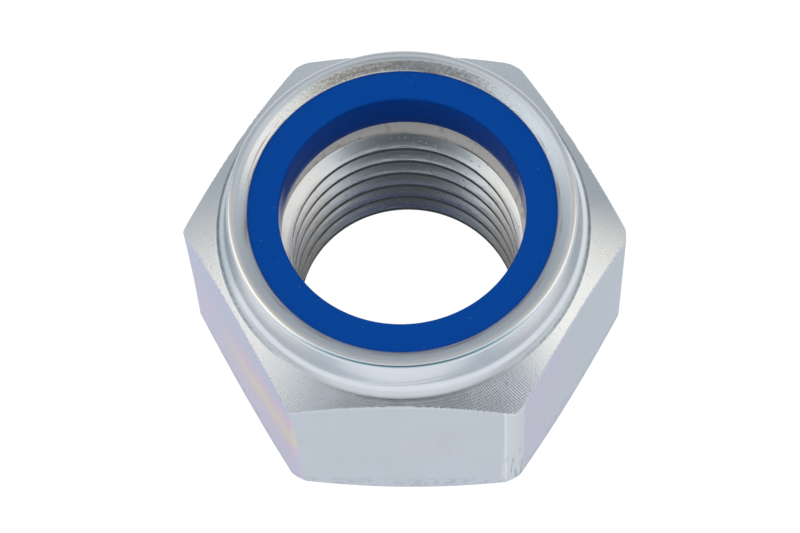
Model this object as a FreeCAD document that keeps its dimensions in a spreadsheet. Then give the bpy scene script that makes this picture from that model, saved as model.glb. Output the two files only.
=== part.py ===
import FreeCAD, Part
import math
import os

import Sketcher

# Nylon insert lock nut, coarse M36 x 4 thread, 55 mm across flats.
#
# Two pieces: the steel nut, forged as a hexagon and turned to a thin collar at the top,
# and the nylon ring that the collar's rolled rim holds down on its seat.
# Origin at the centre of the bearing face, +Z along the thread towards the ring,
# two flats facing +Y and -Y. Millimetres.

os.makedirs("parts", exist_ok=True)
doc = FreeCAD.newDocument("lock_nut")

SIZES = [
    # Hexagon
    ("across_flats", 55.0),
    ("corner_trim", 0.6),               # what the round stock lacks of each sharp corner
    ("bearing_inset", 0.3),             # from a flat in to the face that meets the clamped part
    ("bearing_chamfer", 33.0),          # degrees up from the bearing face
    ("top_chamfer", 32.0),              # degrees down from level
    # Collar and its rolled rim
    ("nut_height", 37.9),
    ("shoulder_depth", 7.6),            # from the rim's top down to the chamfer's edge on a flat
    ("collar_taper", 0.5),              # how far the wall's foot stands out from its top
    ("collar_wall", 1.5),               # steel beside the ring
    ("neck_radius", 5.9),
    ("neck_lean", 23.0),                # degrees from upright where the neck meets the wall
    ("rim_bevel", 0.48),                # 45 degree bevel round the outside of the rim
    ("rim_land", 0.64),                 # flat top of the rim
    ("rim_lap", 1.35),                  # how far the rim covers the ring
    ("rim_depth", 1.3),                 # from the rim's top down to the ring
    ("rim_edge", 0.25),                 # thickness left at the rim's inner edge
    # Nylon ring
    ("ring_height", 7.4),
    ("ring_width", 5.6),                # from the ring's bore out to the pocket's wall
    ("ring_grip", 0.9),                 # how far the ring's bore stands inside the thread diameter
    ("ring_bevel", 0.35),               # on both edges of the ring's bore
    # Thread
    ("thread_diameter", 36.0),
    ("thread_pitch", 4.0),
    ("flank_angle", 60.0),
    ("entry_margin", 0.95),             # countersink in the bearing face, beyond the thread diameter
    ("entry_angle", 120.0),
    ("exit_margin", 0.8),               # countersink under the ring, beyond the thread diameter
    ("exit_angle", 60.0),
]

# Radii and heights that follow from them; the tapping drill is the thread diameter less one pitch.
DERIVED = [
    ("flat_radius", "across_flats / 2"),
    ("corner_radius", "across_flats / sqrt(3) - corner_trim"),
    ("bearing_radius", "flat_radius - bearing_inset"),
    ("thread_radius", "thread_diameter / 2"),
    ("bore_radius", "(thread_diameter - thread_pitch) / 2"),
    ("entry_radius", "thread_radius + entry_margin"),
    ("exit_radius", "thread_radius + exit_margin"),
    ("ring_bore_radius", "thread_radius - ring_grip"),
    ("pocket_radius", "ring_bore_radius + ring_width"),
    ("opening_radius", "pocket_radius - rim_lap"),
    ("collar_radius", "pocket_radius + collar_wall"),
    ("foot_radius", "collar_radius + collar_taper"),
    ("flat_height", "nut_height - shoulder_depth"),
    ("ring_top", "nut_height - rim_depth"),
    ("seat_height", "ring_top - ring_height"),
]

sheet = doc.addObject("Spreadsheet::Sheet", "sizes")
for row, (name, value) in enumerate(SIZES + DERIVED, start=1):
    sheet.set(f"A{row}", name)
    sheet.set(f"B{row}", f"={value}")
    sheet.setAlias(f"B{row}", name)
doc.recompute()

START, END, CENTRE = range(1, 4)        # point numbers of a sketch edge
ORIGIN = (-1, START)
SPARE = 5.0                             # how far a cutting profile reaches past the metal


def size(name):
    return float(sheet.get(name))


def slope(name, share=1.0):
    return math.tan(math.radians(size(name) * share))


def origin_plane(body, role):
    return next(item for item in body.Origin.OriginFeatures if item.Role == role)


def new_body(name):
    body = doc.addObject("PartDesign::Body", name)
    body.Label = name
    body.Placement = FreeCAD.Placement()
    return body


def new_sketch(body, name, plane):
    sketch = body.newObject("Sketcher::SketchObject", name)
    sketch.AttachmentSupport = [(origin_plane(body, plane), "")]
    sketch.MapMode = "FlatFace"
    return sketch


def at(x, z):
    return FreeCAD.Vector(x, z, 0)


def line(sketch, first, last):
    return sketch.addGeometry(Part.LineSegment(at(*first), at(*last)), False)


def arc(sketch, centre, radius, first_angle, last_angle):
    circle = Part.Circle(at(*centre), FreeCAD.Vector(0, 0, 1), radius)
    return sketch.addGeometry(Part.ArcOfCircle(circle, first_angle, last_angle), False)


def bind(sketch, kind, references, value, expression):
    index = sketch.addConstraint(Sketcher.Constraint(kind, *references, value))
    sketch.setExpression(f"Constraints[{index}]", expression)


def place(sketch, edge, point, radius=None, height=None):
    """Fix an edge's point by its distance from the axis, its height, or both, as expressions."""
    spot = sketch.getPoint(edge, point)
    if radius is not None:
        bind(sketch, "DistanceX", (*ORIGIN, edge, point), spot.x, radius)
    if height is not None:
        bind(sketch, "DistanceY", (*ORIGIN, edge, point), spot.y, height)


def chain(sketch, corners):
    """Joined lines through the corners; edge i starts at corner i."""
    edges = [line(sketch, first, last) for first, last in zip(corners, corners[1:])]
    for edge, following in zip(edges, edges[1:]):
        sketch.addConstraint(Sketcher.Constraint("Coincident", edge, END, following, START))
    return edges


def polygon(sketch, corners):
    """Closed chain of lines through the corners."""
    edges = chain(sketch, [*corners, corners[0]])
    sketch.addConstraint(Sketcher.Constraint("Coincident", edges[-1], END, edges[0], START))
    return edges


def level(sketch, *edges):
    for edge in edges:
        sketch.addConstraint(Sketcher.Constraint("Horizontal", edge))


def upright(sketch, *edges):
    for edge in edges:
        sketch.addConstraint(Sketcher.Constraint("Vertical", edge))


def line_up(sketch, direction, edge):
    """Put an edge's first point level with the origin, or upright above or below it."""
    sketch.addConstraint(Sketcher.Constraint(direction, *ORIGIN, edge, START))


def new_feature(body, kind, name, sketch):
    """Feature made from a sketch, its faces left as drawn."""
    feature = body.newObject(kind, name)
    feature.Profile = sketch
    feature.Refine = False
    return feature


def turned(body, sketch, kind, name):
    feature = new_feature(body, kind, name, sketch)
    feature.ReferenceAxis = (sketch, ["V_Axis"])
    feature.Angle = 360.0
    doc.recompute()
    return feature


def pierced_blank(body):
    """Hexagonal blank, longer than the nut, with flats facing +Y and -Y and the tapping bore through it.

    The bore is drawn as four quarter circles, so each quarter turn of the thread's crest is one face.
    """
    sketch = new_sketch(body, "hexagon_and_bore", "XY_Plane")
    reach, bore = size("across_flats") / math.sqrt(3), size("bore_radius")
    turns = [i * math.pi / 3 for i in range(6)]
    edges = polygon(sketch, [(reach * math.cos(turn), reach * math.sin(turn)) for turn in turns])
    circle = sketch.addGeometry(Part.Circle(at(0, 0), FreeCAD.Vector(0, 0, 1), reach), True)
    sketch.addConstraint(Sketcher.Constraint("Coincident", circle, CENTRE, *ORIGIN))
    bind(sketch, "Radius", (circle,), reach, "sizes.across_flats / sqrt(3)")
    for edge in edges:
        sketch.addConstraint(Sketcher.Constraint("PointOnObject", edge, START, circle))
    for edge in edges[1:]:
        sketch.addConstraint(Sketcher.Constraint("Equal", edges[0], edge))
    line_up(sketch, "Horizontal", edges[0])

    quarters = [arc(sketch, (0, 0), bore, i * math.pi / 2, (i + 1) * math.pi / 2) for i in range(4)]
    for i, quarter in enumerate(quarters):
        sketch.addConstraint(Sketcher.Constraint("Coincident", quarter, CENTRE, *ORIGIN))
        line_up(sketch, ("Horizontal", "Vertical")[i % 2], quarter)
        sketch.addConstraint(Sketcher.Constraint("Coincident", quarter, END, quarters[(i + 1) % 4], START))
    bind(sketch, "Radius", (quarters[0],), bore, "sizes.bore_radius")
    pad = new_feature(body, "PartDesign::Pad", "pierced_blank", sketch)
    pad.setExpression("Length", f"sizes.nut_height + {SPARE}")
    doc.recompute()


def turned_outside(body):
    """Both chamfers, the hollow neck, the collar's wall and the rim rolled inwards."""
    sketch = new_sketch(body, "outside_profile", "XZ_Plane")
    flats, corners, bearing = size("flat_radius"), size("corner_radius"), size("bearing_radius")
    foot, collar, opening = size("foot_radius"), size("collar_radius"), size("opening_radius")
    top, bevel, edge_height = size("nut_height"), size("rim_bevel"), size("ring_top") + size("rim_edge")
    clear, over = size("across_flats"), top + 2 * SPARE

    # The neck is hollow: an arc tangent to the top chamfer, up to where it meets the collar's wall.
    neck, lean = size("neck_radius"), math.radians(size("neck_lean"))
    outward = math.radians(90 - size("top_chamfer"))
    start_x = foot + neck * (math.cos(lean) - math.cos(outward))
    start = (start_x, size("flat_height") + (flats - start_x) * slope("top_chamfer"))
    centre = (start[0] + neck * math.cos(outward), start[1] + neck * math.sin(outward))
    neck_end = (foot, centre[1] - neck * math.sin(lean))

    lower = (corners, (corners - bearing) * slope("bearing_chamfer"))
    upper = (corners, size("flat_height") - (corners - flats) * slope("top_chamfer"))
    top_cone = line(sketch, upper, start)
    neck_arc = arc(sketch, centre, neck, lean + math.pi, outward + math.pi)
    sketch.addConstraint(Sketcher.Constraint("Tangent", top_cone, END, neck_arc, END))
    outline = chain(sketch, [
        neck_end, (collar, top - bevel), (collar - bevel, top), (collar - bevel - size("rim_land"), top),
        (opening, edge_height), (0, edge_height), (0, over), (clear, over), (clear, -SPARE),
        (bearing, -SPARE), (bearing, 0), lower, upper,
    ])
    wall, rim_bevel, rim_land, rim_slope, over_ring, axis = outline[:6]
    above, beside, below, under, bearing_cone, corner = outline[6:]
    sketch.addConstraint(Sketcher.Constraint("Coincident", neck_arc, START, wall, START))
    sketch.addConstraint(Sketcher.Constraint("Coincident", corner, END, top_cone, START))
    level(sketch, rim_land, over_ring, above, below)
    upright(sketch, axis, beside, under, corner)

    place(sketch, wall, START, "sizes.foot_radius")
    place(sketch, wall, END, "sizes.collar_radius", "sizes.nut_height - sizes.rim_bevel")
    place(sketch, rim_land, START, "sizes.collar_radius - sizes.rim_bevel", "sizes.nut_height")
    place(sketch, rim_land, END, "sizes.collar_radius - sizes.rim_bevel - sizes.rim_land")
    place(sketch, rim_slope, END, "sizes.opening_radius", "sizes.ring_top + sizes.rim_edge")
    line_up(sketch, "Vertical", axis)
    place(sketch, above, END, "sizes.across_flats", f"sizes.nut_height + {2 * SPARE}")
    bind(sketch, "DistanceY", (below, END, *ORIGIN), SPARE, f"{SPARE}")
    place(sketch, bearing_cone, START, "sizes.bearing_radius")
    line_up(sketch, "Horizontal", bearing_cone)
    place(sketch, corner, START, "sizes.corner_radius",
          "(sizes.corner_radius - sizes.bearing_radius) * tan(sizes.bearing_chamfer * 1 deg)")
    place(sketch, corner, END, None,
          "sizes.flat_height - (sizes.corner_radius - sizes.flat_radius) * tan(sizes.top_chamfer * 1 deg)")
    bind(sketch, "Angle", (top_cone,), math.pi / 2 + outward, "180 deg - sizes.top_chamfer * 1 deg")
    bind(sketch, "Radius", (neck_arc,), neck, "sizes.neck_radius")
    bind(sketch, "Angle", (neck_arc,), outward - lean, "(90 - sizes.top_chamfer - sizes.neck_lean) * 1 deg")
    turned(body, sketch, "PartDesign::Groove", "turned_outside")


def bored_inside(body):
    """Countersink in the bearing face, countersink under the ring, its seat and pocket, and the opening."""
    sketch = new_sketch(body, "seat_profile", "XZ_Plane")
    entry, leave, inner = size("entry_radius"), size("exit_radius"), size("bore_radius") / 2
    pocket, opening = size("pocket_radius"), size("opening_radius")
    seat, ring_top, top = size("seat_height"), size("ring_top"), size("nut_height") + 2 * SPARE

    entry_end = (entry - inner) / slope("entry_angle", 0.5)
    below, entry_wall, entry_cone, entry_lid, entry_axis = polygon(
        sketch, [(0, -SPARE), (entry, -SPARE), (entry, 0), (inner, entry_end), (0, entry_end)])
    level(sketch, below, entry_lid)
    upright(sketch, entry_wall, entry_axis)
    line_up(sketch, "Vertical", below)
    bind(sketch, "DistanceY", (below, START, *ORIGIN), SPARE, f"{SPARE}")
    place(sketch, entry_cone, START, "sizes.entry_radius")
    line_up(sketch, "Horizontal", entry_cone)
    place(sketch, entry_cone, END, "sizes.bore_radius / 2",
          "(sizes.entry_radius - sizes.bore_radius / 2) / tan(sizes.entry_angle * 0.5 deg)")

    exit_start = seat - (leave - inner) / slope("exit_angle", 0.5)
    bottom, exit_cone, floor, pocket_wall, rim_under, rim_wall, above, seat_axis = polygon(
        sketch, [(0, exit_start), (inner, exit_start), (leave, seat), (pocket, seat), (pocket, ring_top),
                 (opening, ring_top), (opening, top), (0, top)])
    level(sketch, bottom, floor, rim_under, above)
    upright(sketch, pocket_wall, rim_wall, seat_axis)
    line_up(sketch, "Vertical", bottom)
    place(sketch, exit_cone, START, "sizes.bore_radius / 2", "sizes.seat_height"
          " - (sizes.exit_radius - sizes.bore_radius / 2) / tan(sizes.exit_angle * 0.5 deg)")
    place(sketch, floor, START, "sizes.exit_radius", "sizes.seat_height")
    place(sketch, pocket_wall, START, "sizes.pocket_radius")
    place(sketch, rim_under, END, "sizes.opening_radius", "sizes.ring_top")
    place(sketch, above, START, None, f"sizes.nut_height + {2 * SPARE}")
    turned(body, sketch, "PartDesign::Groove", "bored_inside")


def tapped_thread(body):
    """Right-hand V groove from below the bearing face to above the ring's seat.

    Its flanks are an eighth of the pitch apart at the thread diameter and meet just outside it.
    """
    sketch = new_sketch(body, "thread_profile", "XZ_Plane")
    pitch, flank = size("thread_pitch"), slope("flank_angle", 0.5)
    inner, apex = size("bore_radius") - pitch / 8, size("thread_radius") + pitch / 16 / flank
    mouth_half = (apex - inner) * flank
    lower_flank, upper_flank, mouth = polygon(
        sketch, [(inner, -pitch - mouth_half), (apex, -pitch), (inner, -pitch + mouth_half)])
    upright(sketch, mouth)
    sketch.addConstraint(Sketcher.Constraint("Equal", lower_flank, upper_flank))
    place(sketch, upper_flank, START,
          "sizes.thread_radius + sizes.thread_pitch / 16 / tan(sizes.flank_angle * 0.5 deg)")
    bind(sketch, "DistanceY", (upper_flank, START, *ORIGIN), pitch, "sizes.thread_pitch")
    place(sketch, upper_flank, END, "sizes.bore_radius - sizes.thread_pitch / 8")
    bind(sketch, "Angle", (upper_flank,), math.pi - math.atan(flank),
         "180 deg - sizes.flank_angle * 0.5 deg")
    helix = new_feature(body, "PartDesign::SubtractiveHelix", "tapped_thread", sketch)
    helix.ReferenceAxis = (sketch, ["V_Axis"])
    helix.Mode = "pitch-height-angle"
    helix.setExpression("Pitch", "sizes.thread_pitch")
    helix.setExpression("Height", "sizes.seat_height + sizes.thread_pitch * 1.5")
    doc.recompute()


def insert_ring(body):
    """Nylon ring that fills the pocket, its bore narrower than the thread."""
    sketch = new_sketch(body, "ring_profile", "XZ_Plane")
    bore, outside = size("ring_bore_radius"), size("pocket_radius")
    seat, top = size("seat_height"), size("ring_top")
    bottom, wall, face, inside = polygon(
        sketch, [(bore, seat), (outside, seat), (outside, top), (bore, top)])
    level(sketch, bottom, face)
    upright(sketch, wall, inside)
    place(sketch, bottom, START, "sizes.ring_bore_radius", "sizes.seat_height")
    place(sketch, wall, END, "sizes.pocket_radius", "sizes.ring_top")
    ring = turned(body, sketch, "PartDesign::Revolution", "ring")
    bore_edges = [
        f"Edge{number}" for number, edge in enumerate(ring.Shape.Edges, start=1)
        if isinstance(edge.Curve, Part.Circle) and abs(edge.Curve.Radius - bore) < 1e-6
    ]
    bevels = body.newObject("PartDesign::Chamfer", "bevelled_bore_edges")
    bevels.Base = (ring, bore_edges)
    bevels.setExpression("Size", "sizes.ring_bevel")
    doc.recompute()


nut_body = new_body("nut_body")
for step in (pierced_blank, turned_outside, bored_inside, tapped_thread):
    step(nut_body)
ring_body = new_body("insert_ring")
insert_ring(ring_body)
doc.recompute()

for item in doc.Objects:
    if {"Invalid", "Error"} & set(item.State):
        raise RuntimeError(f"{item.Label} failed: {item.State}")
for part in (nut_body, ring_body):
    if part.Shape.isNull() or not part.Shape.isValid():
        raise RuntimeError(f"{part.Label} has no valid shape")
for part in (nut_body, ring_body):
    part.Shape.exportStep(os.path.join("parts", part.Label + ".step"))
    print(part.Label, f"{part.Shape.Volume:.1f} mm3, {len(part.Shape.Faces)} faces")
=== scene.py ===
# %% [markdown]
# # A nylon insert lock nut, dressed for its photograph
# The frame brings in the two CAD solids, the steel nut and its nylon ring, already in place and in metres.
# This lesson builds a finer skin for each of them, paints bright zinc and blue nylon with nodes, and lights
# them with soft panels as a small studio would. Lengths are written in millimetres, and turned to metres by
# one factor where Blender takes them.

import math

import bmesh
import bpy
import numpy as np
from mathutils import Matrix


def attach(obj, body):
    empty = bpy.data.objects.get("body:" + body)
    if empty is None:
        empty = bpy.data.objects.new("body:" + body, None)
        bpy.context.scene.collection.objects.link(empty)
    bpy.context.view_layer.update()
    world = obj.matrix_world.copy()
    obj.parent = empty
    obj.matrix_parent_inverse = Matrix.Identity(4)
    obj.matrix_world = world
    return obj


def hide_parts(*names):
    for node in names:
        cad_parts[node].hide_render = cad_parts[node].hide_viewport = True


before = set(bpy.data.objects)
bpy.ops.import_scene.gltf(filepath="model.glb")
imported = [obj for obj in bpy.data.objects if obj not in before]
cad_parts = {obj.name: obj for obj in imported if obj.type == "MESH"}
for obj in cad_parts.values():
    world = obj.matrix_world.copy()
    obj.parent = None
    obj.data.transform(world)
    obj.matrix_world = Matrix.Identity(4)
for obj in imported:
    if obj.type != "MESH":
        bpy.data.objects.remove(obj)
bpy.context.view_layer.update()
scene = bpy.context.scene
MM = 0.001
print("CAD nodes:", sorted(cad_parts))

# %% [markdown]
# ## Camera
# The photographer stood close above the nut with a long lens: 66 degrees above the table, a little to the
# right of the front flat, the camera rolled a few degrees. The place and the focal length come from fitting
# the outline and the rings of the real nut. A camera dragged by hand would never line up that well, and lens
# shift isn't needed, because the camera simply aims a little behind the nut's centre.

# %% Place the camera
camera = bpy.data.objects.new("camera", bpy.data.cameras.new("camera"))
scene.collection.objects.link(camera)
camera.location = (13.084 * MM, -163.785 * MM, 381.235 * MM)
camera.rotation_euler = [math.radians(a) for a in (24.2489, 1.7427, 1.0109)]
camera.data.sensor_width = 36.0
camera.data.lens = 124.80
camera.data.clip_start = 0.01
scene.camera = camera
scene.view_settings.view_transform = "Standard"
print("camera distance in mm:", round(camera.location.length / MM, 1))

# %% [markdown]
# ## One helper for every node
# Geometry, material and world trees all grow in the same way: a node, its settings, and what feeds it.
# So one function does it for all of them. A socket that is given a number or a colour keeps it, and a
# socket that is given another node's output is linked to it.

# %% Helpers: add a node, list arithmetic, read a hex colour
def add(tree, kind, inputs=None, **settings):
    """Add a node with its settings, and feed its sockets, by name or number, with values or outputs."""
    made = tree.nodes.new(kind)
    for name, value in settings.items():
        setattr(made, name, value)
    for key, value in (inputs or {}).items():
        if isinstance(value, bpy.types.NodeSocket):
            tree.links.new(value, made.inputs[key])
        else:
            made.inputs[key].default_value = value
    return made


def reckon(tree, known, steps):
    """Add arithmetic row by row (name, operation, sources); a source is a number or the name of a row."""
    for name, operation, *sources in steps:
        feeds = {i: known[s] if isinstance(s, str) else s for i, s in enumerate(sources)}
        known[name] = add(tree, "ShaderNodeMath", feeds, operation=operation, label=name).outputs[0]
    return known


def hex_colour(text):
    """sRGB hex to the linear colour that Blender works in."""
    channels = [int(text[i:i + 2], 16) / 255 for i in (1, 3, 5)]
    return [c / 12.92 if c <= 0.04045 else ((c + 0.055) / 1.055) ** 2.4 for c in channels] + [1.0]


# %% [markdown]
# ## The nut's shape as a rule
# A hexagon nut is two rules at once. Its flats are a hexagonal prism, and everything else is turned on a
# lathe. Where a turned cone cuts a flat, the edge is the curved arch that every nut shows. The skin is one
# sheet of quads that is wrapped round the axis. Each row of the sheet is either a turned circle, with its own
# radius and height, or a row of a chamfer or flat, which follows the hexagon. Because rows lie exactly on the
# arches, these edges stay crisp with few faces. A boolean of solids would leave long thin triangles there.
#
# The numbers are the ones the CAD solid is made from, so the skin lies on the solid.

# %% Sizes of the nut, in millimetres
FLAT_RADIUS, STOCK_RADIUS, BEARING_RADIUS = 27.5, 31.154, 27.2
TOP_SLOPE, BEARING_SLOPE = math.tan(math.radians(32)), math.tan(math.radians(33))
FLAT_HEIGHT, NUT_HEIGHT, RING_TOP, SEAT_HEIGHT = 30.3, 37.9, 36.6, 29.2
POCKET_RADIUS, RING_BORE_RADIUS = 22.7, 17.1
PITCH, BORE_RADIUS = 4.0, 16.0
ENTRY_RADIUS, EXIT_RADIUS = 18.95, 18.8    # mouths of the countersinks, in the bearing face and in the seat
ENTRY_SLOPE, EXIT_SLOPE = math.tan(math.radians(60)), math.tan(math.radians(30))
EDGE = 0.12                                # how far a worn edge is bevelled
print("across flats:", 2 * FLAT_RADIUS, "height:", NUT_HEIGHT)


def arc_points(centre, radius, first, last, steps):
    """Points on an arc in the meridian plane, angles in degrees from the outward direction."""
    angles = np.radians(np.linspace(first, last, steps))
    return [(centre[0] + radius * math.cos(a), centre[1] + radius * math.sin(a)) for a in angles]


# %% [markdown]
# ## Rows of the sheet
# The rows run from the ring's seat, up the pocket, over the rolled rim, down the collar's wall and hollow
# neck, over the top chamfer, the flat and the bottom chamfer, and in along the bearing face. The rim was
# rolled over the ring by a hard roller, so its outer corner is a round of about 0.6 mm, and its inner lip
# falls in a soft curve to the nylon. Pairs of rows close to an edge keep the light's turn at that edge
# narrow. The share in a row of a chamfer or flat says how far it lies from one end to the other.

# %% Rows of the outside
TURNED, CHAMFER, SIDE, UNDERCUT, THREAD = range(5)      # which rule places a row
ROLLED_ZINC, TURNED_ZINC, DRAWN_ZINC, TAPPED_ZINC = range(4)
NECK_CENTRE, NECK_HOLLOW = (27.735, 33.744), 3.05       # tangent to the collar's wall and the chamfer
RIM_RADIUS, RIM_ROUND = 24.23, 0.57

neck = arc_points(NECK_CENTRE, NECK_HOLLOW, 186, 238, 16)
rim_lip = [(21.5, RING_TOP), (21.38, 36.63), (21.36, 36.72), (21.42, 36.82), (21.6, 36.97), (22.0, 37.24),
           (22.4, 37.48), (22.8, 37.69), (23.1, 37.82), (23.35, 37.89)]
rim_round = arc_points((RIM_RADIUS - RIM_ROUND, NUT_HEIGHT - RIM_ROUND), RIM_ROUND, 90, 0, 12)
rolled = [
    (EXIT_RADIUS, SEAT_HEIGHT), (22.4, SEAT_HEIGHT), (POCKET_RADIUS, SEAT_HEIGHT + 0.1),
    (POCKET_RADIUS, RING_TOP - 0.1), (22.5, RING_TOP), *rim_lip, *rim_round,
    (24.26, 37.0), (24.45, 35.4), (24.62, 33.98), (24.67, 33.6), *neck,
]

seat_to_neck = [(TURNED, *row) for row in rolled]
chamfer_rows = [(CHAMFER, share, 0.0) for share in (0.97, 0.75, 0.5, 0.25, 0.06, 0.03)]
arch_rows = [(CHAMFER, share, 0.0) for share in (0.03, 0.0)]
arch_rows += [(SIDE, share, 0.0) for share in (0.0, 0.004, 0.012)]
flat_rows = [(SIDE, share, 0.0) for share in (0.012, 0.05, 0.25, 0.6, 0.95, 0.992, 1.0)]
flat_rows += [(UNDERCUT, share, 0.0) for share in (0.0, 0.1, 0.5, 0.9, 1.0)]
flat_rows += [(TURNED, radius, 0.0) for radius in (27.05, 24.0, 19.1, ENTRY_RADIUS)]
finish_of_rule = {TURNED: ROLLED_ZINC, CHAMFER: TURNED_ZINC, SIDE: DRAWN_ZINC, UNDERCUT: TURNED_ZINC}
print("rows of the outside:", len(seat_to_neck) + len(chamfer_rows), len(arch_rows), len(flat_rows))

# %% [markdown]
# ## Rows of the thread
# A thread is the same profile again and again, climbing one pitch a turn. The drill leaves its crest flat,
# and the tap cuts flanks that stand at 60 degrees to each other, with a small radius at the root. These
# rows climb as they go round, and where they would leave the nut they are held at its ends. The two
# countersinks then win wherever they lie further out, which is how a real thread runs out.

# %% Rows of the bore
# How far along the axis from the middle of a crest, and how deep below the bore
half_profile = [(0.0, 0.01), (0.34, 0.01), (0.42, 0.08), (0.9, 0.91), (1.4, 1.77), (1.56, 2.0), (1.72, 2.15),
                (2.0, 2.2)]
SPARE = 0.5                                # how far past both ends rows go on, so that the ends are whole
one_turn = [(-s, depth) for s, depth in half_profile[-2:0:-1]] + half_profile
crests = [PITCH / 2 + PITCH * i for i in range(-2, 8)]
bore = [(THREAD, BORE_RADIUS + depth, crest + s) for crest in crests for s, depth in one_turn]
bore = [row for row in bore if -PITCH - SPARE < row[2] < SEAT_HEIGHT + SPARE][::-1]
print("rows down the bore:", len(bore))


# %% [markdown]
# ## From rows to a sheet
# The sheet itself is plain: a grid whose points carry four numbers, the turn round the axis, the rule, and the
# rule's two values. Where a fine grid meets a coarse one, the fine grid's spare columns are held to their
# neighbours, so the weld after the wrapping leaves no gap. The points have no real place yet: the geometry
# tree gives them one from their numbers.

# %% Grids of quads
POINT_VALUES = ("turn", "rule", "first", "second")


def grid(rows, columns, snapped=None):
    """Point values and quads of one grid; snapped gives, for a row, the step its columns are held to."""
    turns = np.tile(np.arange(columns + 1), (len(rows), 1))
    for row, step in (snapped or {}).items():
        turns[row] -= turns[row] % step
    values = np.repeat(np.array(rows, float)[:, None, :], columns + 1, axis=1)
    values = np.concatenate([2 * math.pi * turns[:, :, None] / columns, values], axis=2).reshape(-1, 4)
    first = (np.arange(len(rows) - 1)[:, None] * (columns + 1) + np.arange(columns)).ravel()
    quads = np.stack([first, first + 1, first + columns + 2, first + columns + 1], axis=1)
    return values, quads


def finishes(rows, columns):
    """Finish of each face of a grid: the one of the rule at the row's far side."""
    return np.repeat([finish_of_rule[row[0]] for row in rows[1:]], columns)


def sheet_object(name, parts):
    """Object whose points carry turn, rule, first and second, and whose faces carry a finish."""
    starts = np.cumsum([0] + [len(part[0]) for part in parts])
    values = np.concatenate([part[0] for part in parts])
    quads = np.concatenate([part[1] + start for part, start in zip(parts, starts)])
    values[np.isin(values[:, 1], (TURNED, THREAD)), 2:] *= MM          # lengths, where the rest are shares
    mesh = bpy.data.meshes.new(name)
    mesh.from_pydata([(v[0], i * 1e-6, 0) for i, v in enumerate(values)], [], quads.tolist())
    for column, key in enumerate(POINT_VALUES):
        attribute = mesh.attributes.new(key, "FLOAT", "POINT")
        attribute.data.foreach_set("value", values[:, column].astype(np.float32))
    mesh.attributes.new("finish", "INT", "FACE").data.foreach_set(
        "value", np.concatenate([part[2] for part in parts]).astype(np.int32))
    made = bpy.data.objects.new(name, mesh)
    scene.collection.objects.link(made)
    return made


# %% [markdown]
# ## The nut's sheet
# Four grids make it: from the seat over the rim to the chamfer's edge, a narrow strip along the arches, from
# there down the flats to the bearing face, and up the bore. The arches need the most columns, because the
# lathe's marks make them jagged, and the bore needs the fewest.

# %% Build the nut's sheet
BORE_COLUMNS = 360
COLUMNS = 720
ARCH_COLUMNS = 2880

upper_rows = seat_to_neck + chamfer_rows
step_to_bore, step_to_arch = COLUMNS // BORE_COLUMNS, ARCH_COLUMNS // COLUMNS
nut = sheet_object("nut_skin", [
    (*grid(upper_rows, COLUMNS, {0: step_to_bore}), finishes(upper_rows, COLUMNS)),
    (*grid(arch_rows, ARCH_COLUMNS, {0: step_to_arch, len(arch_rows) - 1: step_to_arch}),
     finishes(arch_rows, ARCH_COLUMNS)),
    (*grid(flat_rows, COLUMNS, {len(flat_rows) - 1: step_to_bore}), finishes(flat_rows, COLUMNS)),
    (*grid(bore, BORE_COLUMNS), np.full((len(bore) - 1) * BORE_COLUMNS, TAPPED_ZINC)),
])
print("quads in the sheet:", len(nut.data.polygons))

# %% [markdown]
# ## Zinc, four ways
# The nut is forged steel with a bright zinc plate. Zinc is a bluish white metal that shines less than chrome,
# and the clear passivation over it adds a breath of lilac and straw. What changes from face to face is how
# the steel under the plate was made: the collar was rolled smooth, the chamfers carry the lathe's feed marks,
# the flats carry the marks of the forging die, and the bore was cut by a tap. So there are four materials with
# one recipe and different marks.
#
# The marks lie on Object coordinates, so they stay on the nut from any side. Besides the plain coordinates a
# mark may follow the radius, the turn round the axis, or a wrap that has no seam.

# %% Where a point lies on the nut
WRAP_RADIUS = 27.0                         # a step round the axis counts as it does on this circle


def new_material(name):
    """Empty node material, and its tree."""
    material = bpy.data.materials.new(name)
    material.use_nodes = True
    material.node_tree.nodes.clear()
    return material, material.node_tree


def place_on_nut(tree):
    """Object coordinates of a point, and the same as radius, turn from the front, and a seamless wrap."""
    where = add(tree, "ShaderNodeTexCoord").outputs["Object"]
    split = add(tree, "ShaderNodeSeparateXYZ", {0: where})
    place = {"where": where, "x": split.outputs[0], "y": split.outputs[1], "height": split.outputs[2]}
    reckon(tree, place, [
        ("x squared", "MULTIPLY", "x", "x"),
        ("level squared", "MULTIPLY_ADD", "y", "y", "x squared"),
        ("radius", "SQRT", "level squared"),
        ("back", "MULTIPLY", "y", -1.0),
        ("turn", "ARCTAN2", "x", "back"),
        ("east", "DIVIDE", "x", "radius"),
        ("north", "DIVIDE", "y", "radius"),
        ("east wrap", "MULTIPLY", "east", WRAP_RADIUS * MM),
        ("north wrap", "MULTIPLY", "north", WRAP_RADIUS * MM),
        ("section", "ADD", "radius", "height"),
    ])
    place["wrapped"] = add(tree, "ShaderNodeCombineXYZ", {
        0: place["east wrap"], 1: place["north wrap"], 2: place["section"]}).outputs[0]
    return place


# %% [markdown]
# ## Patterns that marks are made of
# Clouds are soft noise and specks are their peaks. A band lies between two lengths, a sector lies on one side
# of the nut, and ridges repeat along a length. All sizes are real millimetres.

# %% Clouds, specks, bands, sectors, ridges and stains
SOFT = {"interpolation_type": "SMOOTHSTEP"}    # a ramp that starts and ends gently


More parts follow.
